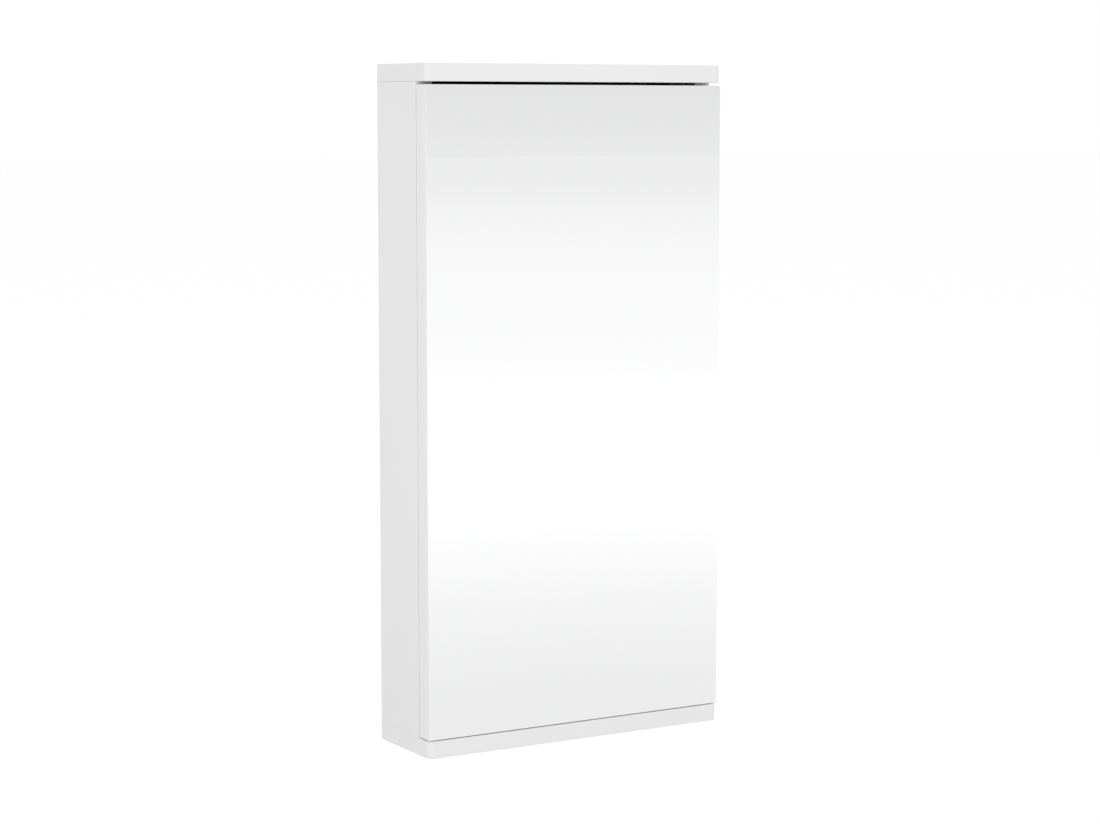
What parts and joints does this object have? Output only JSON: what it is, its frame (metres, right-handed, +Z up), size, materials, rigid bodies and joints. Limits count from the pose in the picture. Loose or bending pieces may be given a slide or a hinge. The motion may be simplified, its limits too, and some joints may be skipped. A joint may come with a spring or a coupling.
{
  "type": "corner wall cabinet",
  "caption": "Tall white corner wall cabinet with a full-height mirror door on concealed hinges, and glass shelves that follow the five-sided plan.",
  "frame": {"origin": "centre of the plan's box on the floor of the bottom board", "axes": "+Z up along the height; the mirror faces -Y; the rear corner points to +Y; the hinges are at +X"},
  "size_m": [0.35, 0.28, 0.7],
  "materials": {
    "white_board": "white lacquered board, satin",
    "door_board": "white faced board, satin",
    "mirror": "silvered float glass with polished edges",
    "shelf_glass": "clear float glass with ground edges",
    "tape": "foam mounting tape",
    "buffer": "clear silicone, matte",
    "dowel": "raw beech, fluted",
    "zinc": "zinc plated",
    "nickel": "nickel plated steel",
    "spring_steel": "oiled spring steel wire",
    "screw": "bright zinc plated steel"
  },
  "bodies": {
    "carcass": {"bottom_board": "white_board", "top_board": "white_board", "left_side_panel": "white_board", "right_side_panel": "white_board", "left_back_panel": "white_board", "right_back_panel": "white_board", "side_dowels": "dowel", "back_dowels": "dowel", "cam_bolts": "zinc", "cam_locks": "zinc", "lower_shelf": "shelf_glass", "lower_shelf_supports": "nickel", "middle_shelf": "shelf_glass", "middle_shelf_supports": "nickel", "upper_shelf": "shelf_glass", "upper_shelf_supports": "nickel", "lower_hinge_arm": "nickel", "lower_arm_pins": "screw", "lower_closing_spring": "spring_steel", "lower_mounting_plate": "nickel", "lower_plate_screws": "screw", "lower_fixing_screw": "screw", "lower_adjusting_screw": "screw", "upper_hinge_arm": "nickel", "upper_arm_pins": "screw", "upper_closing_spring": "spring_steel", "upper_mounting_plate": "nickel", "upper_plate_screws": "screw", "upper_fixing_screw": "screw", "upper_adjusting_screw": "screw"},
    "outer_links": {"lower_outer_link": "nickel", "upper_outer_link": "nickel"},
    "inner_links": {"lower_inner_link": "nickel", "upper_inner_link": "nickel"},
    "door": {"door_board": "door_board", "mirror_glass": "mirror", "mirror_tapes": "tape", "door_buffers": "buffer", "lower_hinge_cup": "nickel", "lower_cup_pins": "screw", "lower_cup_screws": "screw", "upper_hinge_cup": "nickel", "upper_cup_pins": "screw", "upper_cup_screws": "screw"}
  },
  "joints": [
    {"name": "outer_link_swing", "type": "hinge", "parent": "carcass", "child": "outer_links", "pos_m": [0.137, -0.1127, 0.35], "axis": [0, 0, 1], "range_deg": [-36, 0]},
    {"name": "inner_link_swing", "type": "hinge", "parent": "carcass", "child": "inner_links", "pos_m": [0.1415, -0.1219, 0.35], "axis": [0, 0, 1], "range_deg": [-28.2, 0]},
    {"name": "door_swing", "type": "hinge", "parent": "outer_links", "child": "door", "pos_m": [0.164, -0.1218, 0.35], "axis": [0, 0, 1], "range_deg": [0, 130.72]}
  ],
  "couplings": [
    {"joint": "outer_link_swing", "follows": "door_swing", "ratio": -0.27325},
    {"joint": "inner_link_swing", "follows": "door_swing", "ratio": -0.214}
  ]
}
